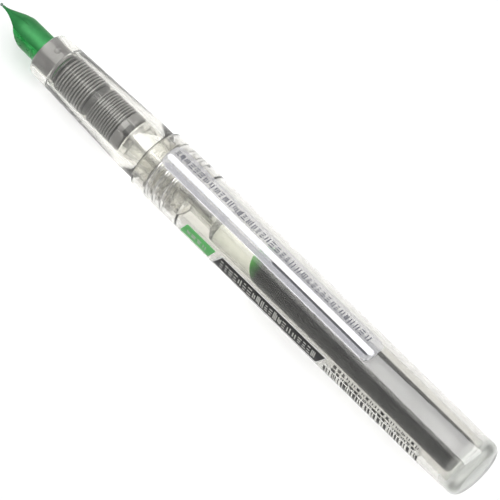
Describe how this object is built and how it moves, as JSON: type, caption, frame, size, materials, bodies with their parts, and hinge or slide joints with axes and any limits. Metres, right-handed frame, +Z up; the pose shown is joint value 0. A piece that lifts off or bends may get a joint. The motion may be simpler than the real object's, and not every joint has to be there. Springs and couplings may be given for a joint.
{
  "type": "fountain pen",
  "caption": "Clear-bodied cartridge fountain pen with its cap off: green nib and feed, grey finned collector, screw-on grip, long barrel and ink cartridge.",
  "frame": {"origin": "on the surface that the pen lies on, below the middle of its length and width", "axes": "+X from the nib to the tail along the pen's axis, +Z up, +Y across; the nib's middle leans 11.25 degrees from +Z towards +Y"},
  "size_m": [0.123, 0.0123, 0.0123],
  "materials": {
    "green_nib": "glossy green coating on steel",
    "tipping": "polished hard point",
    "green_plastic": "glossy moulded plastic",
    "grey_plastic": "satin moulded plastic, wetted by ink between the fins",
    "ink_rod": "ink-soaked fibre rod",
    "clear_plastic": "clear moulded plastic with a faint warm tint",
    "cartridge_plastic": "translucent moulded plastic",
    "ink": "very dark green ink",
    "steel": "polished ball",
    "label_film": "clear film with a white band and grey dashes",
    "label_print": "printed film with a green tab, a black stripe and plain bars"
  },
  "bodies": {
    "barrel_body": {"barrel": "clear_plastic", "notice_label": "label_film", "side_label": "label_print"},
    "core": {"ink_rod": "ink_rod"},
    "grip_unit": {"grip": "clear_plastic", "connector": "clear_plastic", "collector": "grey_plastic", "nib_sleeve": "grey_plastic", "feed": "green_plastic", "nib": "green_nib", "tipping_left": "tipping", "tipping_right": "tipping"},
    "cartridge_body": {"cartridge": "cartridge_plastic", "ink_charge": "ink"},
    "ball_body": {"cartridge_ball": "steel"}
  },
  "joints": [
    {"name": "grip_advance", "type": "slide", "parent": "barrel_body", "child": "core", "axis": [-1, 0, 0], "range_m": [0, 0.0076]},
    {"name": "grip_unscrew", "type": "hinge", "parent": "core", "child": "grip_unit", "pos_m": [-0.02, 0, 0.00607], "axis": [-1, 0, 0], "range_deg": [0, 1440]},
    {"name": "cartridge_pull", "type": "slide", "parent": "grip_unit", "child": "cartridge_body", "axis": [1, 0, 0], "range_m": [0, 0.0012]},
    {"name": "ball_roll", "type": "slide", "parent": "cartridge_body", "child": "ball_body", "axis": [-1, 0, 0], "range_m": [0, 0.007]}
  ],
  "couplings": [
    {"joint": "grip_unscrew", "follows": "grip_advance", "rad_per_m": 3306.9}
  ]
}
